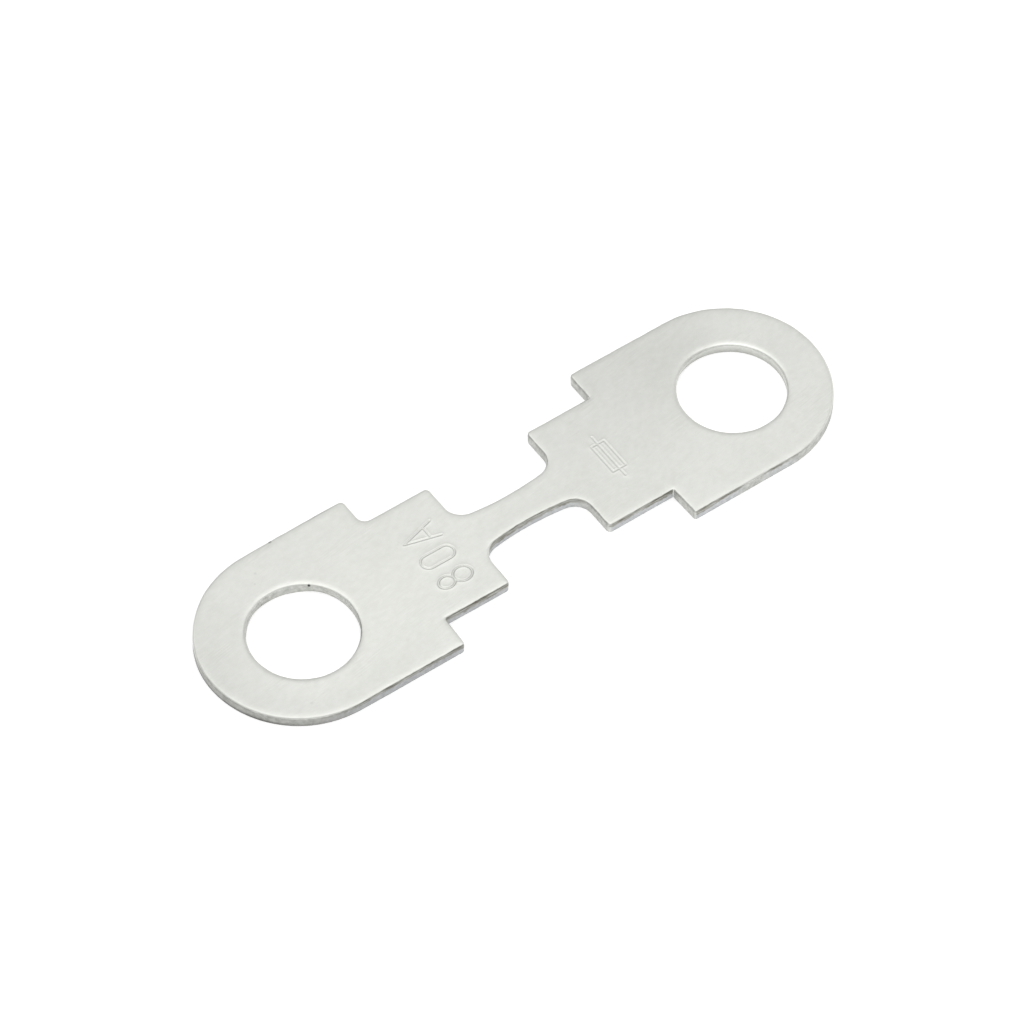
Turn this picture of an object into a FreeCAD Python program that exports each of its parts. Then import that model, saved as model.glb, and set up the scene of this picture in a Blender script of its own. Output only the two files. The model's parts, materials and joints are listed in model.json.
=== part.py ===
import FreeCAD, Part
import math
import os

from FreeCAD import Vector

# Bolt down strip fuse, one flat zinc strip that is blanked and pierced in one stroke.
# Sizes are in millimetres and angles in radians.
# The strip lies on the XY plane, long axis along X, marked face up at Z = sheet_thickness.
# The origin is the middle of the underside, and the strip is alike in all four quarters.

# The sheet, and the holes for the two bolts that clamp it
sheet_thickness = 1.0
hole_spacing = 42.0
hole_diameter = 9.0

# The two wide tabs with full round ends, around the holes
hole_to_tip = 8.45
tab_width = 17.2
tab_gap = 22.2
tab_corner_radius = 0.5

# The two narrower shoulders that lead from the tabs to the link
shoulder_width = 11.5
shoulder_gap = 9.6
shoulder_corner_radius = 0.45

# The waisted link that melts
link_width = 3.0
link_waist_radius = 25.0
link_fillet_radius = 1.6

# What the die leaves: upper edges drawn down, and walls that break away near the underside
edge_roll_radius = 0.18
fracture_height = 0.5
fracture_taper = 0.05

# Worked out from the sizes above
QUARTER_TURN = math.pi / 2
X_AXIS = Vector(1, 0, 0)
Y_AXIS = Vector(0, 1, 0)
Z_AXIS = Vector(0, 0, 1)
ORIGIN = Vector(0, 0, 0)
hole_x = hole_spacing / 2
end_radius = tab_width / 2
end_centre_x = hole_x + hole_to_tip - end_radius
tab_edge_x = tab_gap / 2
shoulder_edge_x = shoulder_gap / 2
shoulder_half_width = shoulder_width / 2
link_half_width = link_width / 2


def line_edge(start, end):
    """A straight edge between two (x, y) points."""
    return Part.LineSegment(Vector(*start, 0), Vector(*end, 0)).toShape()


def arc_edge(centre, radius, start_angle, end_angle):
    """A circular edge about an (x, y) centre, anticlockwise from one angle to the other."""
    circle = Part.Circle(Vector(*centre, 0), Z_AXIS, radius)
    return Part.Arc(circle, start_angle, end_angle).toShape()


def mirrored(edges, normal):
    """Copies of the edges on the other side of the plane through the origin."""
    return [edge.mirror(ORIGIN, normal) for edge in edges]


def tab_edges():
    """One quarter's share of a tab: round end, straight side and inner edge, to the notch."""
    corner = (tab_edge_x + tab_corner_radius, end_radius - tab_corner_radius)
    return [
        arc_edge((end_centre_x, 0), end_radius, 0, QUARTER_TURN),
        line_edge((end_centre_x, end_radius), (corner[0], end_radius)),
        arc_edge(corner, tab_corner_radius, QUARTER_TURN, 2 * QUARTER_TURN),
        line_edge((tab_edge_x, corner[1]), (tab_edge_x, shoulder_half_width)),
    ]


def shoulder_edges(link_start_y):
    """One quarter's share of a shoulder, from the sharp notch to the link's fillet."""
    corner = (
        shoulder_edge_x + shoulder_corner_radius,
        shoulder_half_width - shoulder_corner_radius,
    )
    return [
        line_edge((tab_edge_x, shoulder_half_width), (corner[0], shoulder_half_width)),
        arc_edge(corner, shoulder_corner_radius, QUARTER_TURN, 2 * QUARTER_TURN),
        line_edge((shoulder_edge_x, corner[1]), (shoulder_edge_x, link_start_y)),
    ]


def link_edges(waist_centre, fillet_centre):
    """One quarter's share of the link: a fillet that runs smoothly into the long waist arc."""
    rise = fillet_centre[1] - waist_centre[1]
    tangent_angle = 4 * QUARTER_TURN + math.atan2(rise, fillet_centre[0])
    return [
        arc_edge(fillet_centre, link_fillet_radius, tangent_angle, 4 * QUARTER_TURN),
        arc_edge(waist_centre, link_waist_radius, 3 * QUARTER_TURN, tangent_angle),
    ]


def strip_outline():
    """The closed outline of the strip, from one quarter that is mirrored twice."""
    # The fillet's circle touches the shoulder's edge, and the waist's circle from inside
    waist_y = link_half_width + link_waist_radius
    fillet_x = shoulder_edge_x - link_fillet_radius
    centre_distance = link_waist_radius - link_fillet_radius
    fillet_y = waist_y - math.sqrt(centre_distance**2 - fillet_x**2)
    quarter = tab_edges() + shoulder_edges(fillet_y)
    quarter += link_edges((0, waist_y), (fillet_x, fillet_y))
    half = quarter + mirrored(quarter, X_AXIS)
    return Part.Wire(Part.__sortEdges__(half + mirrored(half, Y_AXIS)))


def blanked_strip():
    """The sheared strip: straight walls that break away inwards below the fracture line."""
    strip = Part.Face(strip_outline()).extrude(Z_AXIS * sheet_thickness)
    lower_edges = [edge for edge in strip.Edges if edge.BoundBox.ZMax < fracture_height]
    return strip.makeChamfer(fracture_height, fracture_taper, lower_edges)


def bolt_hole(side):
    """The space that the punch leaves in one tab, where side is -1 or 1."""
    centre = X_AXIS * side * hole_x
    return Part.makeCylinder(hole_diameter / 2, sheet_thickness, centre, Z_AXIS)


def with_rolled_edges(strip):
    """The strip with every edge of its upper face drawn down, around the holes too."""
    middle_of_wall = (fracture_height + sheet_thickness) / 2
    upper_edges = [edge for edge in strip.Edges if edge.BoundBox.ZMin > middle_of_wall]
    return strip.makeFillet(edge_roll_radius, upper_edges)


def fuse_strip():
    """The whole fuse as one solid."""
    strip = blanked_strip()
    for side in (-1, 1):
        strip = strip.cut(bolt_hole(side))
    return with_rolled_edges(strip).Solids[0]


os.makedirs("parts", exist_ok=True)
part = fuse_strip()
part.exportStep("parts/fuse_strip.step")
size = part.optimalBoundingBox()
print("fuse_strip", part.isValid(), round(part.Volume, 2), "mm3", size.XLength, size.YLength, size.ZLength)
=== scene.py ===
import json
import math

import bpy
import numpy as np
from mathutils import Matrix, Vector, noise
from mathutils.geometry import delaunay_2d_cdt


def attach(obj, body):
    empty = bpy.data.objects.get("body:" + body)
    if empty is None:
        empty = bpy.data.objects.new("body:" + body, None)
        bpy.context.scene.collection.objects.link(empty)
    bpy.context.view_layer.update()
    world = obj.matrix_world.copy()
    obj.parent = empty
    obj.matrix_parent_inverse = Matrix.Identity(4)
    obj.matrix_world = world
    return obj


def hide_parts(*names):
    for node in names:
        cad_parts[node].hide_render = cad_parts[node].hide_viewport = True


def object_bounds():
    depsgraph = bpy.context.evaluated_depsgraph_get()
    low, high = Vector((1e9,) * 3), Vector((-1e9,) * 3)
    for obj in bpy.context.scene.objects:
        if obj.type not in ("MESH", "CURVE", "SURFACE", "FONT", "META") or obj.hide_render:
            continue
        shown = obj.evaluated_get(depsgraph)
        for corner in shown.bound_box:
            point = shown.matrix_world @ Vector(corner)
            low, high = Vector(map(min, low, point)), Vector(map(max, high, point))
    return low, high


# The looks of a bolt down strip fuse. Everything is in metres, in the frame of the CAD part:
# long axis along X, stamped face towards +Z, underside at Z = 0.

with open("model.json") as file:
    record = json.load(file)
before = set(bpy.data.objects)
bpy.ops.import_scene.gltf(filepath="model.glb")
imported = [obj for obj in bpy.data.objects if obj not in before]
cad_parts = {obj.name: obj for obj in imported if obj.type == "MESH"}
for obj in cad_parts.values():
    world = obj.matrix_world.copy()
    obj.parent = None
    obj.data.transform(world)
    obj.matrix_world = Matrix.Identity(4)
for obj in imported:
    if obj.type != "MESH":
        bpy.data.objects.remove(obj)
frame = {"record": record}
cad_low, cad_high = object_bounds()
mounts = {mount["name"]: mount for mount in frame["record"]["mounts"]}

MM = 0.001
PER_MM = 1 / MM
QUARTER_TURN = math.pi / 2

# Sizes that the frame gives
half_length = cad_high.x
tab_half_width = cad_high.y
thickness = cad_high.z
hole_x = mounts["stud_hole_right"]["pos_m"][0]
hole_radius = mounts["stud_hole_right"]["dims"]["r_mm"] * MM

# Sizes of the outline between the tabs
tab_edge_x = 11.1 * MM
shoulder_half_width = 5.75 * MM
shoulder_edge_x = 4.8 * MM
link_half_width = 1.5 * MM
link_waist_radius = 25.0 * MM
link_fillet_radius = 1.6 * MM

# Radii of the tab corner, the notch and the shoulder corner. The worn die gives each quarter
# its own.
far_right_radii = (0.45 * MM, 0.1 * MM, 0.45 * MM)
far_left_radii = (0.45 * MM, 0.8 * MM, 0.45 * MM)
near_left_radii = (0.3 * MM, 0.08 * MM, 0.35 * MM)
near_right_radii = (0.2 * MM, 0.06 * MM, 0.38 * MM)
least_radius = 0.03 * MM

# The far side narrows slightly towards the round ends, and the near corner of the right tab
# leans out
lean_stations_x = np.array([-28, -25, -20, -17, -13.5, 20, 28]) * MM
lean_shares = [0.046, 0.023, 0.009, 0.002, 0.0, 0.0, 0.009]
corner_lean = 0.11 * MM

# The two near notches sit slightly off their places: side, shift and how far round them it reaches
notch_drifts = [(-1, (0.1 * MM, 0.04 * MM)), (1, (0.04 * MM, 0))]
notch_drift_reach = tab_half_width - shoulder_half_width

# The punches of the two holes sat slightly off the middle of the tabs
left_hole_drift = (0.18 * MM, -0.3 * MM)
right_hole_drift = (0.175 * MM, -0.11 * MM)

# The die rounds the upper rim and draws the face down beside it, more around the holes
outline_rim_radius = 0.19 * MM
hole_rim_radius = 0.21 * MM
rim_wear = 0.25
rim_tilts = [90, 76, 64, 54, 46, 39, 33, 27, 21, 15]
outline_roll_width = 0.8 * MM
outline_roll_slope = 0.08
hole_roll_width = 0.6 * MM
hole_roll_slope = 0.2
roll_insets = [0.25 * MM, 0.33 * MM, 0.43 * MM, 0.56 * MM]

# Walls: cut smooth above and broken away inwards below. How far the foot is broken away changes
# along the strip, is a fixed share on the short walls across it, and goes with the direction
# that the wall of a hole faces. The roughness grows from nothing at the foot.
fracture_height = 0.45 * MM
fracture_taper = 0.05 * MM
taper_stations_x = np.array([-25, -21.6, -18, -12, -10, -8, -6, -2, 1, 4, 6, 10, 12]) * MM
taper_shares = [0.0, 0.8, 0.1, 0.1, 0.4, 0.4, 0.1, 0.4, 0.0, 0.0, 0.35, 0.35, 0.0]
cross_taper_share = 0.5
taper_directions = [-180, -140, -115, -90, -65, -40, -15, 30, 180]
left_hole_tapers = np.array([0.05, 0.15, 0, 0.03, 0.13, 0, 0.05, 0.05, 0.05]) * MM
right_hole_tapers = np.array([0.05, 0.06, 0.05, 0.1, 0.14, 0.15, 0.09, 0.05, 0.05]) * MM
wall_roughness = 0.012 * MM
cut_roughness_share = 0.3
roughness_growth = 6
coarse_length = 0.9 * MM
fine_length = 0.3 * MM
wall_shares = [0.0, 0.06, 0.22, 0.42, 0.58, 0.7, 0.86]

# Spacing of the points along the edges and over the faces
outline_step = 0.14 * MM
corner_points = 11
notch_points = 6
hole_points = 260
face_step = 0.35 * MM
underside_step = 3 * face_step
mark_step = 0.036 * MM
upper_clearance = roll_insets[-1] + 0.5 * face_step
lower_clearance = 1.5 * face_step
least_gap = 0.001 * MM
least_triangle = 1e-6
triangle_tolerance = 1e-6
block_size = 2000

# Slight waves that rolling and stamping leave in the sheet
wave_height = 0.012 * MM
wave_length = 9.0 * MM
wave_settle_width = 2 * MM

# Seeds of the noise: the waves, then the outline and the left and the right hole
wave_seed = 40
edge_seeds = (1, 11, 21)
seed_steps = (17.3, 5.1, 9.7)

# Stamped marks: half widths of a stroke and of its flat bottom, the painted shade along the foot of
# its sides, and the low lip beside it
stroke_half_width = 0.105 * MM
bottom_half_width = 0.055 * MM
groove_foot_width = 0.5 * bottom_half_width
lip_height = 0.01 * MM
lip_width = 0.08 * MM
lip_place = 1.4 * stroke_half_width
mark_reach = stroke_half_width + 2.2 * lip_width
mark_margin = 1.3 * MM
mark_clearance = mark_reach + face_step / 3
mark_levels = np.array([0, 0.055, 0.105, 0.14, 0.18, 0.23, 0.28]) * MM
mark_slope_nudge = 0.001 * MM
least_steepness = 0.25


def arc_samples(centre, radius, start_angle, end_angle, facing, count):
    """Points on an arc with their normals: facing is 1 on a convex arc, -1 on a hollow one."""
    angles = np.linspace(start_angle, end_angle, count)
    spokes = np.stack([np.cos(angles), np.sin(angles)], axis=1)
    return np.hstack([np.array(centre) + radius * spokes, facing * spokes])


def line_samples(start, end, normal, count):
    """Points on a straight edge, ends left out, with their outward normal."""
    start, end = np.array(start), np.array(end)
    shares = np.linspace(0, 1, count + 1)[1:-1, None]
    points = start + shares * (end - start)
    return np.hstack([points, np.tile(normal, (len(points), 1))])


def point_count(length):
    """How many points a run of the outline needs."""
    return max(corner_points, int(length / outline_step))


def quarter_samples(radii, inset):
    """Points and normals of one quarter of the outline, from the tip to the middle of the link."""
    tab_radius = max(radii[0] - inset, least_radius)
    notch_radius = radii[1] + inset
    shoulder_radius = max(radii[2] - inset, least_radius)
    side_y = tab_half_width - inset
    inner_x = tab_edge_x + inset
    shoulder_y = shoulder_half_width - inset
    shoulder_x = shoulder_edge_x + inset

    end_centre = (half_length - tab_half_width, 0)
    tab_corner = (inner_x + tab_radius, side_y - tab_radius)
    notch = (inner_x - notch_radius, shoulder_y + notch_radius)
    shoulder_corner = (shoulder_x + shoulder_radius, shoulder_y - shoulder_radius)
    waist = (0, link_half_width + link_waist_radius)
    fillet_x = shoulder_edge_x - link_fillet_radius
    rise = math.sqrt((link_waist_radius - link_fillet_radius) ** 2 - fillet_x**2)
    fillet = (fillet_x, waist[1] - rise)
    tangent_angle = -math.atan2(rise, fillet_x)

    # The counts don't depend on the inset, so that every ring has the same number of points
    end_count = point_count(tab_half_width * QUARTER_TURN)
    side_count = point_count(end_centre[0] - tab_edge_x)
    inner_count = point_count(tab_half_width - shoulder_half_width)
    shoulder_count = point_count(tab_edge_x - shoulder_edge_x)
    shoulder_end_count = point_count(shoulder_half_width - fillet[1])
    fillet_count = point_count(link_fillet_radius * QUARTER_TURN)
    waist_count = point_count(link_waist_radius * (QUARTER_TURN + tangent_angle))

    convex, hollow = 1, -1
    corner_turn = (QUARTER_TURN, 2 * QUARTER_TURN, convex, corner_points)
    return np.vstack([
        arc_samples(end_centre, side_y, 0, QUARTER_TURN, convex, end_count),
        line_samples((end_centre[0], side_y), (tab_corner[0], side_y), (0, 1), side_count),
        arc_samples(tab_corner, tab_radius, *corner_turn),
        line_samples((inner_x, tab_corner[1]), (inner_x, notch[1]), (-1, 0), inner_count),
        arc_samples(notch, notch_radius, 0, -QUARTER_TURN, hollow, notch_points),
        line_samples(
            (notch[0], shoulder_y), (shoulder_corner[0], shoulder_y), (0, 1), shoulder_count
        ),
        arc_samples(shoulder_corner, shoulder_radius, *corner_turn),
        line_samples(
            (shoulder_x, shoulder_corner[1]), (shoulder_x, fillet[1]), (-1, 0), shoulder_end_count
        ),
        arc_samples(fillet, link_fillet_radius + inset, 0, tangent_angle, hollow, fillet_count),
        arc_samples(
            waist, link_waist_radius + inset, tangent_angle, -QUARTER_TURN, hollow, waist_count
        )[1:],
    ])


def outline_samples(inset):
    """Points and normals all round the outline, anticlockwise, moved into the metal."""
    far_right = quarter_samples(far_right_radii, inset)
    far_left = quarter_samples(far_left_radii, inset) * [-1, 1, -1, 1]
    near_left = quarter_samples(near_left_radii, inset) * [-1, -1, -1, -1]
    near_right = quarter_samples(near_right_radii, inset) * [1, -1, 1, -1]
    samples = np.vstack([far_right, far_left[::-1][1:], near_left[1:], near_right[::-1][1:-1]])
    x, y = samples[:, 0].copy(), samples[:, 1].copy()
    samples[:, 1] *= np.where(y > 0, 1 - np.interp(x, lean_stations_x, lean_shares), 1)
    outward = np.clip((-y - shoulder_half_width) / (tab_half_width - shoulder_half_width), 0, 1)
    fade = np.clip((hole_x - x) / (hole_x - tab_edge_x), 0, 1)
    samples[:, 0] += np.where(x > 0, corner_lean * outward * fade, 0)
    for side, shift in notch_drifts:
        notch = np.array((side * tab_edge_x, -shoulder_half_width))
        gap = np.hypot(x - notch[0], y - notch[1])
        samples[:, :2] += np.clip(1 - gap / notch_drift_reach, 0, 1)[:, None] * shift
    return samples


def hole_samples(centre, inset):
    """Points and normals round a hole, clockwise, so that the metal lies on the same hand."""
    radius = hole_radius + inset
    return arc_samples(centre, radius, 4 * QUARTER_TURN, 0, -1, hole_points + 1)[:-1]


def noise_at(points, scale, seed):
    """Smooth noise from -1 to 1 at each point, with features about as long as the scale."""
    offset = Vector([seed * step for step in seed_steps])
    return np.array([noise.noise(Vector((x, y, 0)) / scale + offset) for x, y in points])


class SheetEdge:
    """One sheared edge of the strip, with the way its upper rim is rounded and drawn down."""

    def __init__(self, samples, is_hole, seed):
        self.samples = samples
        nominal = samples(0)
        self.points = nominal[:, :2]
        self.normals = nominal[:, 2:]
        self.is_hole = is_hole
        self.seed = seed
        self.rim_radius = hole_rim_radius if is_hole else outline_rim_radius
        self.roll_width = hole_roll_width if is_hole else outline_roll_width
        self.roll_slope = hole_roll_slope if is_hole else outline_roll_slope
        self.roll_tilt = math.atan(self.roll_slope)
        self.roll_start = self.rim_radius * (1 - math.sin(self.roll_tilt))

    def drop(self, distance):
        """How far the upper face is drawn down at a distance from this edge, beside the rim.

        The slope fades as a square, so the depth goes as a cube.
        """
        reach = self.roll_width - self.roll_start
        share = np.clip((self.roll_width - distance) / reach, 0, 1)
        return self.roll_slope * reach / 3 * share**3

    def distance(self, points):
        """Distance from each point to the nearest sample of this edge."""
        blocks = np.array_split(points, max(1, len(points) // block_size))
        gaps = [np.linalg.norm(b[:, None] - self.points[None], axis=2).min(axis=1) for b in blocks]
        return np.concatenate(gaps)

    def moved(self, inset, extra):
        """The edge moved into the metal, and each point a little further by its own amount."""
        samples = self.samples(inset)
        return samples[:, :2] - samples[:, 2:] * np.reshape(extra, (-1, 1))


def segment_distance(points, start, end):
    """Distance from each point to a straight stroke."""
    start, end = np.array(start), np.array(end)
    along = end - start
    share = np.clip(((points - start) @ along) / (along @ along), 0, 1)
    return np.linalg.norm(points - start - share[:, None] * along, axis=1)


def loop_distance(points, centre, half_height, half_width):
    """Distance from each point to an oval stroke that is half_height long in X."""
    stretch = np.array([half_width / half_height, 1])
    reach = np.linalg.norm((points - np.array(centre)) * stretch, axis=1)
    return np.abs(reach - half_width)


def oblong_distance(points, start, end, radius):
    """Distance from each point to a stroke with two straight sides and two round ends."""
    return np.abs(segment_distance(points, start, end) - radius)


# The rating reads along +Y, with the tops of its figures towards the left hole
rating_top_x = -9.6 * MM
rating_foot_x = -6.58 * MM
eight_y = -2.85 * MM
eight_waist_x = -8.19 * MM
eight_small_half_width = 0.58 * MM
eight_large_half_width = 0.71 * MM
zero_y = -0.41 * MM
zero_radius = 0.65 * MM
letter_y = 2.07 * MM
letter_half_width = 0.84 * MM
letter_bar_share = 0.28
groove_shade_strength = 0.58
eight_depth = 0.085 * MM
zero_depth = 0.057 * MM
letter_depth = 0.045 * MM


def eight_distance(points):
    """Distance to the strokes of the figure 8: a small loop above a large one."""
    small_half_height = (eight_waist_x - rating_top_x) / 2
    large_half_height = (rating_foot_x - eight_waist_x) / 2
    small_centre = (rating_top_x + small_half_height, eight_y)
    large_centre = (rating_foot_x - large_half_height, eight_y)
    return np.minimum(
        loop_distance(points, small_centre, small_half_height, eight_small_half_width),
        loop_distance(points, large_centre, large_half_height, eight_large_half_width),
    )


def zero_distance(points):
    """Distance to the stroke of the figure 0."""
    start = (rating_top_x + zero_radius, zero_y)
    end = (rating_foot_x - zero_radius, zero_y)
    return oblong_distance(points, start, end, zero_radius)


def letter_distance(points):
    """Distance to the strokes of the A for ampere."""
    foot_left = (rating_foot_x, letter_y - letter_half_width)
    foot_right = (rating_foot_x, letter_y + letter_half_width)
    apex = (rating_top_x, letter_y)
    bar_x = rating_foot_x + letter_bar_share * (rating_top_x - rating_foot_x)
    bar_half_width = letter_half_width * (1 - letter_bar_share)
    bar_ends = ((bar_x, letter_y - bar_half_width), (bar_x, letter_y + bar_half_width))
    strokes = [
        segment_distance(points, foot_left, apex),
        segment_distance(points, foot_right, apex),
        segment_distance(points, *bar_ends),
    ]
    return np.min(strokes, axis=0)


# The plain circuit symbol for a fuse: a box with a line through it
symbol_x = 8.9 * MM
symbol_half_length = 2.3 * MM
symbol_box_half_length = 1.5 * MM
symbol_box_half_width = 0.62 * MM
symbol_depth = 0.03 * MM


def symbol_distance(points):
    """Distance to the strokes of the fuse symbol, which runs across the strip."""
    left_x = symbol_x - symbol_box_half_width
    right_x = symbol_x + symbol_box_half_width
    end_y = symbol_box_half_length
    strokes = [
        segment_distance(points, (symbol_x, -symbol_half_length), (symbol_x, symbol_half_length)),
        segment_distance(points, (left_x, -end_y), (left_x, end_y)),
        segment_distance(points, (right_x, -end_y), (right_x, end_y)),
        segment_distance(points, (left_x, -end_y), (right_x, -end_y)),
        segment_distance(points, (left_x, end_y), (right_x, end_y)),
    ]
    return np.min(strokes, axis=0)


# Each mark: the distance to its strokes, how deep it is stamped, and the ends of its middle line
marks = [
    (eight_distance, eight_depth, (rating_top_x, eight_y), (rating_foot_x, eight_y)),
    (zero_distance, zero_depth, (rating_top_x, zero_y), (rating_foot_x, zero_y)),
    (letter_distance, letter_depth, (rating_top_x, letter_y), (rating_foot_x, letter_y)),
    (
        symbol_distance, symbol_depth,
        (symbol_x, -symbol_half_length), (symbol_x, symbol_half_length),
    ),
]


def mark_gap(points):
    """Distance from each point to the nearest stroke of any mark."""
    return np.min([distance(points) for distance, _, _, _ in marks], axis=0)


def mark_height(points):
    """Height of the stamped marks: a flat groove with a low lip of raised metal beside it."""
    height = np.zeros(len(points))
    for distance, depth, _, _ in marks:
        gap = distance(points)
        groove = np.clip((stroke_half_width - gap) / (stroke_half_width - bottom_half_width), 0, 1)
        lip = np.exp(-(((gap - lip_place) / lip_width) ** 2))
        height += np.where(gap < stroke_half_width, -depth * groove, lip_height * lip)
    return height


def painted_groove_shade(points):
    """How much painted shade each groove has, in the wall's darker colour: most along the foot of
    its sides.
    """
    darkness = np.zeros(len(points))
    for distance, depth, _, _ in marks:
        foot = np.exp(-(((distance(points) - bottom_half_width) / groove_foot_width) ** 2))
        darkness = np.maximum(darkness, groove_shade_strength * depth / eight_depth * foot)
    return darkness


def snapped(points, distance):
    """Points beside a stroke, each moved onto the nearest of the mark levels."""
    gap = distance(points)
    nudges = [(mark_slope_nudge, 0), (0, mark_slope_nudge)]
    rises = [distance(points + nudge) - distance(points - nudge) for nudge in nudges]
    slope = np.stack([rise / (2 * mark_slope_nudge) for rise in rises], axis=1)
    level = mark_levels[np.abs(gap[:, None] - mark_levels).argmin(axis=1)]
    steepness = np.clip((slope**2).sum(axis=1), least_steepness, None)
    return points + ((level - gap) / steepness)[:, None] * slope


def grid_points(low, high, step):
    """The points of a staggered grid that fills a rectangle."""
    x, y = np.meshgrid(np.arange(low[0], high[0], step), np.arange(low[1], high[1], step))
    x[1::2] += step / 2
    return np.stack([x.ravel(), y.ravel()], axis=1)


def face_grid():
    """Points over the upper face: a wide grid, and a close one along the strokes of the marks.

    Of the points that fall on the same spot, one is kept.
    """
    wide = grid_points(*outer_corners(), face_step)
    close = [wide[:0]]
    for distance, _, low, high in marks:
        points = grid_points(np.array(low) - mark_margin, np.array(high) + mark_margin, mark_step)
        close.append(snapped(points[distance(points) < mark_reach], distance))
    points = np.vstack([wide[mark_gap(wide) > mark_clearance], *close])
    _, apart = np.unique(np.round(points / least_gap), axis=0, return_index=True)
    return points[np.sort(apart)]


def inside_ring(points, ring):
    """Whether each point lies inside a closed ring."""
    inside = np.zeros(len(points), bool)
    x, y = points.T
    for (x0, y0), (x1, y1) in zip(ring, np.roll(ring, -1, axis=0)):
        if y0 == y1:
            continue
        crosses = (y0 > y) != (y1 > y)
        inside ^= crosses & (x < x0 + (y - y0) * (x1 - x0) / (y1 - y0))
    return inside


def in_metal(points, rings):
    """Whether each point lies inside the first ring and outside the others."""
    inside = inside_ring(points, rings[0])
    for ring in rings[1:]:
        inside &= ~inside_ring(points, ring)
    return inside


def triangle_areas(points, faces):
    """The area of each triangle, in square millimetres."""
    first, second, third = (points[faces[:, corner]] * PER_MM for corner in range(3))
    across, up = second - first, third - first
    return np.abs(across[:, 0] * up[:, 1] - across[:, 1] * up[:, 0]) / 2


def triangulated(rings, extra):
    """Triangles inside the first ring and outside the others, through the extra points too.

    The slivers between ring points that lie in one line are left out.
    """
    points = np.vstack([*rings, extra])
    edges = []
    first = 0
    for ring in rings:
        count = len(ring)
        edges.extend((first + i, first + (i + 1) % count) for i in range(count))
        first += count
    flat = [Vector(point) for point in points * PER_MM]
    made, _, faces, sources, _, _ = delaunay_2d_cdt(flat, edges, [], 0, triangle_tolerance)
    made = np.array([tuple(point) for point in made]) * MM
    faces = np.array(faces)
    on_ring = np.array([source[0] < first for source in sources])
    is_sliver = on_ring[faces].all(axis=1) & (triangle_areas(made, faces) < least_triangle)
    faces = faces[~is_sliver]
    faces = faces[in_metal(made[faces].mean(axis=1), rings)]
    return made, faces, [source[0] for source in sources]


# How strong the smooth cut band is along the strip, and the height of the torn line below it.
# The band is a real cut zone, and its dark colour is partly a painted reflection of a dark
# surrounding, strongest on the long side walls.
band_stations_x = np.array([-25, -20, -11, 6, 15, 16.4, 17.8, 19, 20.5, 22]) * MM
band_shares = [0.0, 0.85, 0.95, 1.0, 0.95, 0.1, 0.1, 0.75, 0.75, 0.0]
cross_cut_share = 0.08
line_stations_x = np.array([-20, -13, -10, 0, 6, 10, 12, 14, 16, 20]) * MM
line_heights = [0.67, 0.62, 0.45, 0.45, 0.61, 0.51, 0.51, 0.66, 0.76, 0.71]

# How light the walls are along the strip, a painted fall of light that is dullest at the left
# end, and for the wall of the right hole how much lighter its top is than its foot, a painted
# shade, at which share of its height it has its own tone, and how even it is
tone_stations_x = np.array([-29, -20, -13, -8, 0, 8, 20, 29]) * MM
wall_light_fall = [0.82, 0.87, 0.91, 0.98, 1.04, 1.1, 1.13, 1.05]
hole_stations_x = np.array([-21, 19, 25]) * MM
hole_wall_light_fall = [1.1, 1.16, 1.26]
right_hole_shade_fade = 0.3
right_hole_shade_middle = 0.6
right_hole_calm = 0.7

# On the right half the corners and notches beside the link get a painted glint, and the band fades
corner_reach_x = tab_edge_x + MM
corner_least_y = 5 * MM
corner_band_loss = 0.7
corner_glint = 0.27
notch_reach = 0.3 * MM
notch_glint = 0.6

# How dark the painted shade along the foot of the left end is, where the wall meets the floor
foot_stations_x = np.array([-29.4, -28, -26.4, -24, -21]) * MM
foot_shares = [0.6, 1.0, 0.6, 0.25, 0.0]

# The tilt in degrees above which the rounded rim has the wall's darker look, by the direction that
# the edge faces: along the straight sides, round the two ends, and round each hole. This paints a
# dark line of shade along the rim where the tilt is low, and keeps the brighter face colour for a
# painted highlight where it is high. The gap is a stretch of the right tab's near edge where no
# dark line is painted on the rim.
look_directions = [-180, -150, -100, -75, -35, 0, 90, 150, 180]
straight_look_tilts = [24, 24, 34, 36, 75, 78, 58, 36, 24]
end_look_tilts = [48, 60, 66, 58, 75, 78, 70, 72, 48]
left_hole_look_tilts = [54, 62, 66, 66, 64, 62, 52, 30, 54]
right_hole_look_tilts = [64, 60, 60, 60, 60, 60, 56, 46, 64]
tilt_stations_x = np.array([-21, -15, -10, 6, 13, 20]) * MM
tilt_shifts = [5, 1, 2, 0, -4, -4]
gap_stations_x = np.array([15.6, 16.6, 17.8, 18.8]) * MM
gap_shares = [0, 1, 1, 0]
gap_look_tilt = 66
end_blend_x = [hole_x, hole_x + 3 * MM]
rim_tilt_wander = 11
rim_wander_length = 0.35 * MM
rim_tilt_blend = 7

# Patches where the face, and then the rims or the walls alone, are brighter or duller: middle,
# half sizes and strength. They are painted light and shade: on the face the broad fall of the
# room's light across the strip, on the rims highlights and dark lines, on the walls reflections
# and shade.
face_light_patches = [
    ((-13 * MM, -1 * MM), (6 * MM, 4 * MM), 0.06),
    ((16 * MM, 7 * MM), (14 * MM, 8 * MM), -0.09),
    ((-30 * MM, 0), (7 * MM, 12 * MM), -0.09),
    ((-18 * MM, 9 * MM), (8 * MM, 3 * MM), -0.04),
    ((24.6 * MM, 3.6 * MM), (2.6 * MM, 2.6 * MM), 0.06),
]
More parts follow.
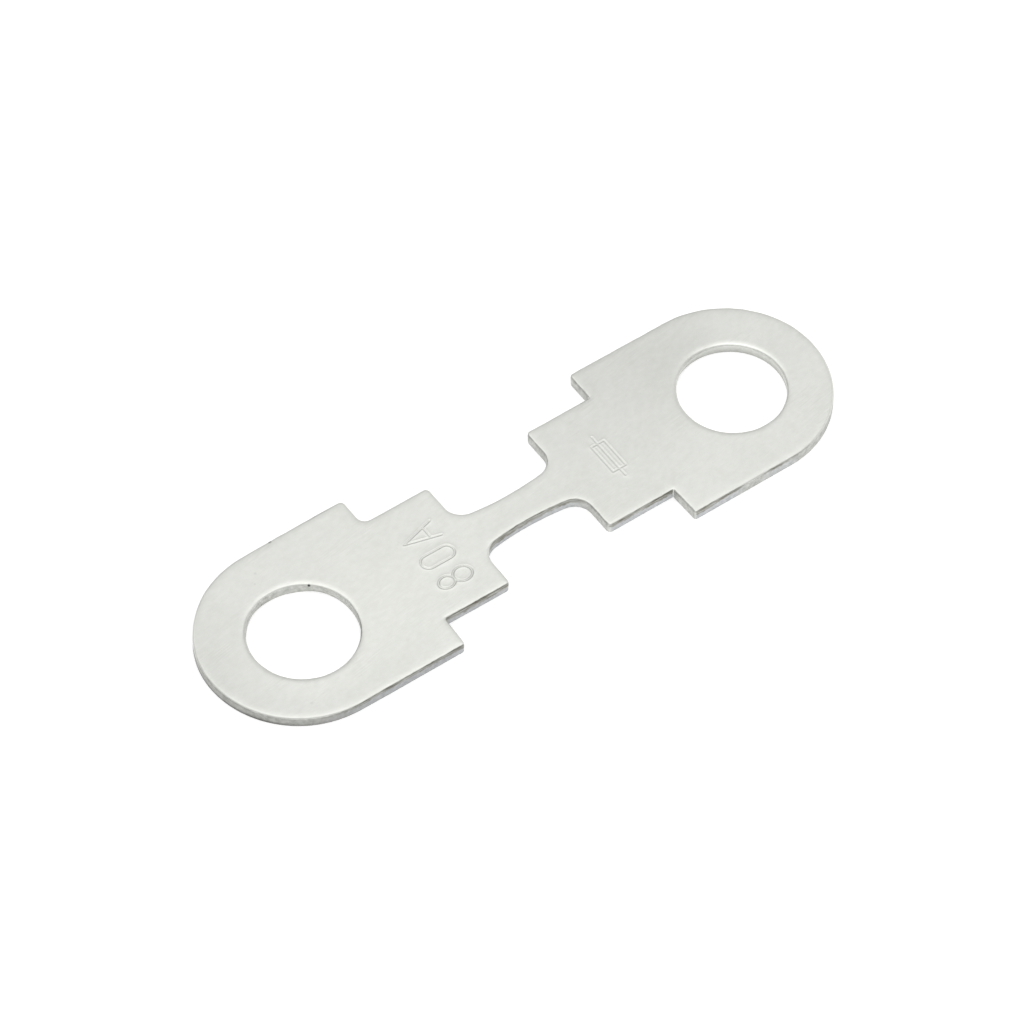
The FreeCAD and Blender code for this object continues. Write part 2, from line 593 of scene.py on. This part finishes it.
# Patches of painted highlight and painted shade on the rounded rims
rim_light_patches = [
    ((16.5 * MM, -8.6 * MM), (4.5 * MM, 1 * MM), -0.08),
    ((-13.4 * MM, 8.6 * MM), (1.2 * MM, 1 * MM), -0.22),
    ((-28 * MM, 4.8 * MM), (1.6 * MM, 2 * MM), 0.17),
    ((24.2 * MM, 3.2 * MM), (2.4 * MM, 2.4 * MM), 0.14),
    ((14 * MM, 8.6 * MM), (7 * MM, 1 * MM), 0.06),
    ((8 * MM, 5.75 * MM), (3 * MM, 0.8 * MM), 0.05),
    ((-24.6 * MM, 2.6 * MM), (1.9 * MM, 1.9 * MM), -0.16),
    ((-20.6 * MM, 4.2 * MM), (2 * MM, 0.8 * MM), 0.05),
]
# Patches of painted reflection and painted shade on the walls
wall_light_patches = [
    ((-16.85 * MM, -2.4 * MM), (1.6 * MM, 1.6 * MM), -0.28),
    ((17.7 * MM, 2.8 * MM), (1.6 * MM, 1.6 * MM), 0.32),
    ((-22.7 * MM, 3.8 * MM), (1.2 * MM, 1.2 * MM), -0.07),
    ((26.6 * MM, -6.2 * MM), (2 * MM, 2 * MM), -0.12),
]

# Small pits and nicks in the edges and the face: middle, radius and strength
pits = [
    ((-17.92 * MM, 3.2 * MM, 0.83 * MM), 0.16 * MM, 1.0),
    ((-18.15 * MM, 8.45 * MM, 0.95 * MM), 0.2 * MM, 0.5),
    ((-21.8 * MM, 4.2 * MM, 0.24 * MM), 0.13 * MM, 0.6),
    ((4.95 * MM, -5.7 * MM, 0.72 * MM), 0.16 * MM, 0.4),
    ((-5.0 * MM, -5.7 * MM, 0.72 * MM), 0.14 * MM, 0.4),
    ((-20.8 * MM, 6.5 * MM, 1 * MM), 0.16 * MM, 0.12),
    ((-21.4 * MM, 5.65 * MM, 1 * MM), 0.12 * MM, 0.1),
    ((-24.1 * MM, -6.4 * MM, 1 * MM), 0.18 * MM, 0.1),
]


def patch_tone(points, patches):
    """How light the patches of painted light and shade make the metal at each point, where 1 is its
    usual tone.
    """
    tone = np.ones(len(points))
    for middle, half_sizes, strength in patches:
        reach = np.linalg.norm((points - np.array(middle)) / np.array(half_sizes), axis=1)
        tone += strength * np.exp(-(reach**2))
    return tone


def facing_degrees(edge):
    """The direction that an edge faces at each of its points, from -180 to 180."""
    return np.degrees(np.arctan2(edge.normals[:, 1], edge.normals[:, 0]))


def wall_looks(edge):
    """The cut band, torn line, dark foot, tone and evenness of a wall at each of its points."""
    x, y = edge.points.T
    tone = patch_tone(edge.points, wall_light_patches)
    if edge.is_hole:
        tone *= np.interp(x, hole_stations_x, hole_wall_light_fall)
        calm = np.where(x > 0, right_hole_calm, 0)
        return {"band": 0, "line": 1, "foot": 0, "tone": tone, "calm": calm}
    tone *= np.interp(x, tone_stations_x, wall_light_fall)
    along, across = edge.normals.T
    facing = cross_cut_share + (1 - cross_cut_share) * across**2
    is_corner = (x > 0) & (x < corner_reach_x) & (np.abs(y) > corner_least_y)
    turn = np.where(is_corner, (2 * along * across) ** 2, 0)
    is_notch = np.hypot(x - tab_edge_x, np.abs(y) - shoulder_half_width) < notch_reach
    # The tone carries the painted light along the strip and the painted glints at corners and
    # notches
    return {
        "band": facing * np.interp(x, band_stations_x, band_shares) * (1 - corner_band_loss * turn),
        "line": np.interp(x, line_stations_x, line_heights),
        "foot": np.interp(x, foot_stations_x, foot_shares),
        "calm": 0,
        "tone": tone * (1 + np.where(is_notch, notch_glint, corner_glint) * turn),
    }


def wall_taper(edge):
    """How far the foot of a wall is broken away at each of its points."""
    if edge.is_hole:
        tapers = left_hole_tapers if edge.points[0, 0] < 0 else right_hole_tapers
        return np.interp(facing_degrees(edge), taper_directions, tapers)
    x = edge.points[:, 0]
    along, across = edge.normals.T
    cross_share = np.where(np.abs(x) < corner_reach_x, cross_taper_share, 0)
    share = np.interp(x, taper_stations_x, taper_shares) * across**2 + cross_share * along**2
    return fracture_taper * share


def rim_look_tilt(edge):
    """The tilt of the rim above which it has the wall's look, a painted dark line, at each point of
    an edge.
    """
    wander = rim_tilt_wander * noise_at(edge.points, rim_wander_length, edge.seed + 2)
    x, y = edge.points.T
    facing = facing_degrees(edge)
    if edge.is_hole:
        left = np.interp(facing, look_directions, left_hole_look_tilts)
        right = np.interp(facing, look_directions, right_hole_look_tilts)
        return np.where(x < 0, left, right) + wander
    straight = np.interp(facing, look_directions, straight_look_tilts)
    end = np.interp(facing, look_directions, end_look_tilts)
    end_share = np.interp(np.abs(x), end_blend_x, [0, 1])
    gap = np.interp(x, gap_stations_x, gap_shares) * (y < 0)
    tilt = straight * (1 - end_share) + end * end_share
    tilt += np.interp(x, tilt_stations_x, tilt_shifts)
    return tilt * (1 - gap) + gap_look_tilt * gap + wander


class StripMesh:
    """Vertices, faces and looks of the strip, gathered before the mesh is made."""

    def __init__(self):
        self.vertices = []
        self.faces = []
        self.looks = {name: [] for name in ("wall", "band", "line", "tone", "foot", "calm")}

    def add_vertices(self, points, heights, **looks):
        """Adds vertices and returns the number of the first."""
        first = len(self.vertices)
        count = len(points)
        self.vertices.extend(np.column_stack([points, np.broadcast_to(heights, count)]).tolist())
        for name, values in self.looks.items():
            values.extend(np.broadcast_to(looks.get(name, 0), count).tolist())
        return first

    def add_band(self, low, high, count):
        """Adds the faces between two rings of vertices."""
        for i in range(count):
            j = (i + 1) % count
            self.faces.append((low + i, low + j, high + j, high + i))

    def add_wall(self, edge):
        """Adds a wall and its rounded rim. Returns the lowest and the highest ring."""
        looks = wall_looks(edge)
        above = patch_tone(edge.points, face_light_patches)
        # The rims carry the face's painted light and their own painted highlights and dark patches
        rim_light_tone = patch_tone(edge.points, face_light_patches + rim_light_patches)
        look_tilt = rim_look_tilt(edge)
        coarse = noise_at(edge.points, coarse_length, edge.seed)
        fine = noise_at(edge.points, fine_length, edge.seed + 1)
        rough = wall_roughness * np.clip(1 + coarse + fine, 0, None) * (1 - looks["calm"])
        radius = edge.rim_radius * (1 + rim_wear * coarse)
        roll_top = thickness - edge.drop(edge.roll_start)
        wall_top = roll_top - radius * math.cos(edge.roll_tilt)
        taper = wall_taper(edge)
        # Painted shade: the wall of the right hole is darker towards its foot
        fade = np.where(edge.is_hole & (edge.points[:, 0] > 0), right_hole_shade_fade, 0)
        rings = []
        for share in wall_shares:
            height = share * wall_top
            broken = np.clip(1 - height / fracture_height, 0, 1)
            roughness = np.where(broken > 0, 1, cut_roughness_share)
            roughness = roughness * min(1, roughness_growth * share)
            points = edge.moved(0, taper * broken + rough * roughness)
            tone = looks["tone"] * (1 + fade * (share - right_hole_shade_middle))
            first = self.add_vertices(points, height, wall=1, **dict(looks, tone=tone))
            rings.append((points, first))
        for tilt in rim_tilts:
            rise = math.cos(edge.roll_tilt) - math.cos(math.radians(tilt))
            reach = 1 - math.sin(math.radians(tilt))
            points = edge.moved(edge.rim_radius * reach, (radius - edge.rim_radius) * reach)
            heights = roll_top - radius * rise
            # The wall's look on the rim paints a dark line of shade
            wall = np.clip(0.5 + (tilt - look_tilt) / rim_tilt_blend, 0, 1)
            tone = (wall * looks["tone"] + 1 - wall) * rim_light_tone
            first = self.add_vertices(points, heights, wall=wall, **dict(looks, tone=tone))
            rings.append((points, first))
        for inset in roll_insets:
            points = edge.moved(inset, 0)
            heights = thickness - edge.drop(inset)
            rings.append((points, self.add_vertices(points, heights, tone=above)))
        for (_, low), (_, high) in zip(rings, rings[1:]):
            self.add_band(low, high, len(edge.points))
        return rings[0], rings[-1]

    def add_face(self, borders, edges, is_top):
        """Adds the upper or the lower face between the rings that the walls end on."""
        rings = [ring for ring, _ in borders]
        ring_numbers = [first + i for ring, first in borders for i in range(len(ring))]
        grid = face_grid() if is_top else grid_points(*outer_corners(), underside_step)
        clearance = upper_clearance if is_top else lower_clearance
        grid = grid[in_metal(grid, rings)]
        grid = grid[np.min([edge.distance(grid) for edge in edges], axis=0) > clearance]
        made, faces, sources = triangulated(rings, grid)
        inner = [i for i, source in enumerate(sources) if source >= len(ring_numbers)]
        points = made[inner]
        heights = upper_height(points, edges) if is_top else 0
        # Painted shade in the grooves of the marks, given through the wall's darker look
        wall = painted_groove_shade(points) if is_top else 0
        first = self.add_vertices(points, heights, wall=wall, tone=patch_tone(points, face_light_patches))
        numbers = np.array([ring_numbers[s] if s < len(ring_numbers) else -1 for s in sources])
        numbers[inner] = first + np.arange(len(inner))
        faces = numbers[faces] if is_top else numbers[faces][:, ::-1]
        self.faces.extend(map(tuple, faces.tolist()))


def outer_corners():
    """The low and high corners of the strip in X and Y."""
    corner = np.array((half_length, tab_half_width))
    return -corner, corner


def upper_height(points, edges):
    """Height of the upper face, with its rolled rims, stamped marks and slight waves."""
    drop = np.max([edge.drop(edge.distance(points)) for edge in edges], axis=0)
    waves = wave_height * (noise_at(points, wave_length, wave_seed) - 1)
    edge_gap = np.min([edge.distance(points) for edge in edges], axis=0)
    settle = np.clip(edge_gap / wave_settle_width, 0, 1)
    return np.minimum(thickness - drop + mark_height(points) + waves * settle, thickness)


def strip_object():
    """The whole strip as one closed mesh with its looks as attributes."""
    left_centre = (left_hole_drift[0] - hole_x, left_hole_drift[1])
    right_centre = (right_hole_drift[0] + hole_x, right_hole_drift[1])
    outline_seed, left_seed, right_seed = edge_seeds
    edges = [
        SheetEdge(outline_samples, False, outline_seed),
        SheetEdge(lambda inset: hole_samples(left_centre, inset), True, left_seed),
        SheetEdge(lambda inset: hole_samples(right_centre, inset), True, right_seed),
    ]
    strip = StripMesh()
    borders = [strip.add_wall(edge) for edge in edges]
    strip.add_face([high for _, high in borders], edges, is_top=True)
    strip.add_face([low for low, _ in borders], edges, is_top=False)
    mesh = bpy.data.meshes.new("stamped_strip")
    mesh.from_pydata(strip.vertices, [], strip.faces)
    for key, values in strip.looks.items():
        attribute = mesh.attributes.new(key, "FLOAT", "POINT")
        attribute.data.foreach_set("value", np.array(values, np.float32))
    mesh.polygons.foreach_set("use_smooth", [True] * len(mesh.polygons))
    mesh.update()
    made = bpy.data.objects.new("stamped_strip", mesh)
    bpy.context.scene.collection.objects.link(made)
    return made


class Nodes:
    """Short calls to add nodes to a tree and to join them."""

    def __init__(self, tree):
        self.tree = tree

    def add(self, kind, **properties):
        """Adds a node and sets its properties."""
        node = self.tree.nodes.new(kind)
        for key, value in properties.items():
            setattr(node, key, value)
        return node

    def put(self, value, socket):
        """Gives a socket a value, which may be another node's output."""
        if isinstance(value, bpy.types.NodeSocket):
            self.tree.links.new(value, socket)
        else:
            socket.default_value = value

    def math(self, operation, first, second):
        """Arithmetic on two values."""
        node = self.add("ShaderNodeMath", operation=operation)
        self.put(first, node.inputs[0])
        self.put(second, node.inputs[1])
        return node.outputs["Value"]

    def weighted_sum(self, parts):
        """The sum of several values, each times its share."""
        total = None
        for value, share in parts:
            part = self.math("MULTIPLY", value, share)
            total = part if total is None else self.math("ADD", total, part)
        return total

    def ramp(self, value, low, high, to_low=0.0, to_high=1.0):
        """A value moved from one range to another, and held within it."""
        node = self.add("ShaderNodeMapRange")
        self.put(value, node.inputs["Value"])
        node.inputs["From Min"].default_value = low
        node.inputs["From Max"].default_value = high
        node.inputs["To Min"].default_value = to_low
        node.inputs["To Max"].default_value = to_high
        return node.outputs["Result"]

    def mix(self, factor, first, second, blend="MIX"):
        """Two colours mixed by a factor."""
        node = self.add("ShaderNodeMix", data_type="RGBA", blend_type=blend)
        self.put(factor, node.inputs[0])
        self.put(first, node.inputs[6])
        self.put(second, node.inputs[7])
        return node.outputs[2]

    def texture(self, place, scale, turn, detail, roughness):
        """Noise around 0.5, turned about Z, with its features per millimetre along each axis."""
        mapping = self.add("ShaderNodeMapping", vector_type="TEXTURE")
        mapping.inputs["Rotation"].default_value = (0, 0, math.radians(turn))
        mapping.inputs["Scale"].default_value = [1 / (PER_MM * amount) for amount in scale]
        self.put(place, mapping.inputs["Vector"])
        node = self.add("ShaderNodeTexNoise")
        node.inputs["Scale"].default_value = 1.0
        node.inputs["Detail"].default_value = detail
        node.inputs["Roughness"].default_value = roughness
        self.put(mapping.outputs["Vector"], node.inputs["Vector"])
        return node.outputs[0]

    def attribute(self, name):
        """A number that the mesh carries at its points."""
        return self.add("ShaderNodeAttribute", attribute_name=name).outputs["Fac"]


def new_material(name):
    """A material with its node helper and its shader."""
    material = bpy.data.materials.new(name)
    material.use_nodes = True
    shader = next(node for node in material.node_tree.nodes if node.type == "BSDF_PRINCIPLED")
    return material, Nodes(material.node_tree), shader


zinc_light = (0.765, 0.772, 0.735, 1)
zinc_dull = (0.695, 0.703, 0.662, 1)
# The dark of the cut band is partly a painted reflection of a dark surrounding
cut_reflection_dark = (0.165, 0.158, 0.128, 1)
cut_light = (0.475, 0.475, 0.45, 1)
broken_dark = (0.44, 0.452, 0.464, 1)
broken_light = (0.54, 0.552, 0.56, 1)
plain_wall_dark = (0.395, 0.4, 0.375, 1)
plain_wall_light = (0.545, 0.55, 0.525, 1)
foot_shade_dark = (0.12, 0.12, 0.115, 1)
pit_dark = (0.02, 0.02, 0.02, 1)
pit_core_share = 0.4

# How much each pattern adds to the tone of the face, and the tones at which it is dull and light
mottle_share = 0.42
cloud_share = 0.4
blot_share = 0.2
scratch_share = 0.1
face_tones = (0.38, 0.62)

# The same shares for the plain walls, and the level that an even wall keeps to
blotch_share = 0.6
speck_share = 0.4
even_level = 0.5

# Heights on the walls in millimetres: how far the torn line wanders, how softly the cut band ends
# on it, and where the painted shade of the foot fades out. The last value is how dark that shade
# is.
torn_reach = 0.12
band_edge = (-0.06, 0.08)
foot_fade = (0.1, 0.34)
foot_strength = 0.8

# Roughness of the face, what the walls add to it, and the fine relief of the surface
face_roughness = (0.3, 0.4)
wall_extra_roughness = 0.15
relief_strength = 0.5
relief_depth = 0.004 * MM


def face_colour(nodes, place, scratches):
    """Rolled zinc: soft mottling and fine scratches that follow the strip."""
    mottle = nodes.texture(place, scale=(1.5, 2.2, 1), turn=12, detail=4, roughness=0.65)
    cloud = nodes.texture(place, scale=(0.07, 0.09, 1), turn=30, detail=2, roughness=0.5)
    blots = nodes.texture(place, scale=(0.6, 0.8, 1), turn=25, detail=3, roughness=0.6)
    tone = nodes.weighted_sum([
        (mottle, mottle_share),
        (cloud, cloud_share),
        (blots, blot_share),
        (scratches, scratch_share),
    ])
    return nodes.mix(nodes.ramp(tone, *face_tones), zinc_dull, zinc_light)


def face_scratches(nodes, place):
    """Fine bright and dark lines along the strip, in patches, from -1 to 1."""
    lines = nodes.texture(place, scale=(0.5, 9, 1), turn=9, detail=2, roughness=0.5)
    patches = nodes.texture(place, scale=(0.2, 0.3, 1), turn=20, detail=2, roughness=0.5)
    bright = nodes.ramp(lines, 0.56, 0.64)
    dark = nodes.ramp(lines, 0.44, 0.36)
    signed = nodes.math("SUBTRACT", bright, dark)
    return nodes.math("MULTIPLY", signed, nodes.ramp(patches, 0.48, 0.62))


def wall_colour(nodes, place, height):
    """Sheared wall: a smooth band above a torn line, darkened partly by a painted reflection, and a
    paler broken zone below it.
    """
    blotches = nodes.texture(place, scale=(2.2, 2.2, 1.6), turn=0, detail=4, roughness=0.7)
    specks = nodes.texture(place, scale=(3, 3, 3), turn=0, detail=3, roughness=0.6)
    torn = nodes.texture(place, scale=(2.2, 2.2, 0.3), turn=0, detail=4, roughness=0.65)
    drawn = nodes.texture(place, scale=(0.8, 0.8, 9), turn=0, detail=3, roughness=0.6)
    wander = nodes.ramp(torn, 0.3, 0.7, -torn_reach, torn_reach)
    line = nodes.math("ADD", nodes.attribute("line"), wander)
    above = nodes.math("SUBTRACT", height, line)
    cut = nodes.mix(nodes.ramp(drawn, 0.38, 0.62), cut_reflection_dark, cut_light)
    broken = nodes.mix(nodes.ramp(specks, 0.35, 0.65), broken_dark, broken_light)
    patchy = nodes.weighted_sum([(blotches, blotch_share), (specks, speck_share)])
    shortfall = nodes.math("SUBTRACT", even_level, patchy)
    patchy = nodes.math("ADD", patchy, nodes.math("MULTIPLY", shortfall, nodes.attribute("calm")))
    plain = nodes.mix(nodes.ramp(patchy, 0.4, 0.6), plain_wall_dark, plain_wall_light)
    banded = nodes.mix(nodes.ramp(above, *band_edge), broken, cut)
    colour = nodes.mix(nodes.attribute("band"), plain, banded)
    # Painted shade along the foot where the wall meets the floor
    near_foot = nodes.ramp(height, *foot_fade, foot_strength, 0.0)
    shade = nodes.math("MULTIPLY", near_foot, nodes.attribute("foot"))
    return nodes.mix(shade, colour, foot_shade_dark)


def with_pits(nodes, place, colour):
    """The colour of the metal with the small pits and nicks in it."""
    for middle, radius, strength in pits:
        gap = nodes.add("ShaderNodeVectorMath", operation="DISTANCE")
        nodes.put(place, gap.inputs[0])
        nodes.put(middle, gap.inputs[1])
        shade = nodes.ramp(gap.outputs["Value"], pit_core_share * radius, radius, strength, 0.0)
        colour = nodes.mix(shade, colour, pit_dark)
    return colour


def zinc_material():
    """Rolled and stamped zinc sheet."""
    material, nodes, shader = new_material("rolled_zinc")
    place = nodes.add("ShaderNodeTexCoord").outputs["Object"]
    split = nodes.add("ShaderNodeSeparateXYZ")
    nodes.put(place, split.inputs["Vector"])
    height = nodes.math("MULTIPLY", split.outputs["Z"], PER_MM)
    wall = nodes.attribute("wall")

    lines = nodes.texture(place, scale=(0.35, 7, 1), turn=3, detail=4, roughness=0.6)
    crossing = nodes.texture(place, scale=(0.5, 5, 1), turn=-8, detail=3, roughness=0.55)
    face = face_colour(nodes, place, face_scratches(nodes, place))
    colour = nodes.mix(wall, face, wall_colour(nodes, place, height))
    # The tone attribute paints light and shade onto the base colour: patches, the fall along the
    # strip, glints and the hole's shade
    colour = nodes.mix(1.0, colour, nodes.attribute("tone"), "MULTIPLY")
    colour = with_pits(nodes, place, colour)
    shader.inputs["Metallic"].default_value = 1.0
    nodes.put(colour, shader.inputs["Base Color"])

    face_dullness = nodes.ramp(crossing, 0.3, 0.7, *face_roughness)
    wall_dullness = nodes.math("MULTIPLY", wall, wall_extra_roughness)
    nodes.put(nodes.math("ADD", face_dullness, wall_dullness), shader.inputs["Roughness"])

    grit = nodes.texture(place, scale=(6, 6, 1.5), turn=0, detail=3, roughness=0.6)
    relief = nodes.add("ShaderNodeMix", data_type="FLOAT")
    nodes.put(wall, relief.inputs["Factor"])
    nodes.put(nodes.math("ADD", lines, crossing), relief.inputs["A"])
    nodes.put(grit, relief.inputs["B"])
    bump = nodes.add("ShaderNodeBump")
    bump.inputs["Strength"].default_value = relief_strength
    bump.inputs["Distance"].default_value = relief_depth
    nodes.put(relief.outputs["Result"], bump.inputs["Height"])
    nodes.put(bump.outputs["Normal"], shader.inputs["Normal"])
    return material


floor_size = 1.2
floor_gap = 0.01 * MM
floor_colour = (0.75, 0.75, 0.75, 1)
floor_roughness = 0.9
floor_glow = 0.5


def add_floor():
    """A pale floor that the camera and the metal see as white, and that keeps a faint shadow."""
    bpy.ops.mesh.primitive_plane_add(size=floor_size, location=(0, 0, -floor_gap))
    floor = bpy.context.object
    floor.name = "floor"
    material, nodes, shader = new_material("white_floor")
    shader.inputs["Base Color"].default_value = floor_colour
    shader.inputs["Roughness"].default_value = floor_roughness
    shader.inputs["Specular IOR Level"].default_value = 0.0
    path = nodes.add("ShaderNodeLightPath").outputs
    seen = nodes.math("MAXIMUM", path["Is Camera Ray"], path["Is Glossy Ray"])
    seen = nodes.math("MAXIMUM", seen, path["Is Transmission Ray"])
    shader.inputs["Emission Color"].default_value = (1, 1, 1, 1)
    nodes.put(nodes.math("MULTIPLY", seen, floor_glow), shader.inputs["Emission Strength"])
    floor.data.materials.append(material)


# Light of the room from the horizon to straight above, and from the right and the front, where it
# grows between two shares of the way round
horizon_light = 0.45
zenith_light = 1.0
side_light = 0.95
side_spread = (0.35, 0.8)
front_light = 0.66
front_spread = (-0.5, -0.85)


def add_world():
    """A soft pale room that the camera sees as white, darker at the horizon but on two sides."""
    world = bpy.data.worlds.new("soft_room")
    bpy.context.scene.world = world
    world.use_nodes = True
    nodes = Nodes(world.node_tree)
    background = next(node for node in world.node_tree.nodes if node.type == "BACKGROUND")
    split = nodes.add("ShaderNodeSeparateXYZ")
    nodes.put(nodes.add("ShaderNodeTexCoord").outputs["Generated"], split.inputs["Vector"])
    level = nodes.ramp(split.outputs["Z"], 0, 1, horizon_light, zenith_light)
    side = nodes.ramp(split.outputs["X"], *side_spread, 0, side_light)
    front = nodes.ramp(split.outputs["Y"], *front_spread, 0, front_light)
    level = nodes.math("MAXIMUM", nodes.math("MAXIMUM", level, side), front)
    camera_ray = nodes.add("ShaderNodeLightPath").outputs["Is Camera Ray"]
    background.inputs["Color"].default_value = (1, 1, 1, 1)
    nodes.put(nodes.math("MAXIMUM", level, camera_ray), background.inputs["Strength"])


def add_softbox(name, place, size, brightness):
    """A square soft lamp aimed at the strip. Its brightness is on the scale where 1 is white."""
    data = bpy.data.lights.new(name, "AREA")
    data.size = size
    data.energy = brightness * math.pi * size**2
    lamp = bpy.data.objects.new(name, data)
    lamp.location = place
    lamp.rotation_euler = (-Vector(place)).to_track_quat("-Z", "Y").to_euler()
    bpy.context.scene.collection.objects.link(lamp)


def add_camera():
    """The camera at the photograph's viewing angle."""
    azimuth = math.radians(-35.72)
    elevation = math.radians(52.89)
    roll = math.radians(0.53)
    distance = 416.1 * MM
    picture_pixels = 1024
    focal_pixels = 5213.8
    origin_pixel = (517.93, 514.07)
    back = Vector((
        math.sin(azimuth) * math.cos(elevation),
        -math.cos(azimuth) * math.cos(elevation),
        math.sin(elevation),
    ))
    level_right = Vector((math.cos(azimuth), math.sin(azimuth), 0))
    right = level_right * math.cos(roll) + back.cross(level_right) * math.sin(roll)
    up = back.cross(right)
    middle = picture_pixels / 2
    aside = (origin_pixel[0] - middle) / focal_pixels * distance
    above = (middle - origin_pixel[1]) / focal_pixels * distance
    place = back * distance - right * aside - up * above
    data = bpy.data.cameras.new("photo_camera")
    data.lens = focal_pixels / picture_pixels * data.sensor_width
    data.clip_start = 10 * MM
    camera = bpy.data.objects.new("photo_camera", data)
    turn = Matrix((right, up, back)).transposed().to_4x4()
    camera.matrix_world = Matrix.Translation(place) @ turn
    bpy.context.scene.collection.objects.link(camera)
    bpy.context.scene.camera = camera


strip = strip_object()
strip.data.materials.append(zinc_material())
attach(strip, "root")
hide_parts("fuse_strip")

add_floor()
add_world()
add_softbox("overhead_softbox", place=(-0.08, 0.03, 0.6), size=0.85, brightness=0.4)
add_camera()
bpy.context.scene.view_settings.view_transform = "Standard"
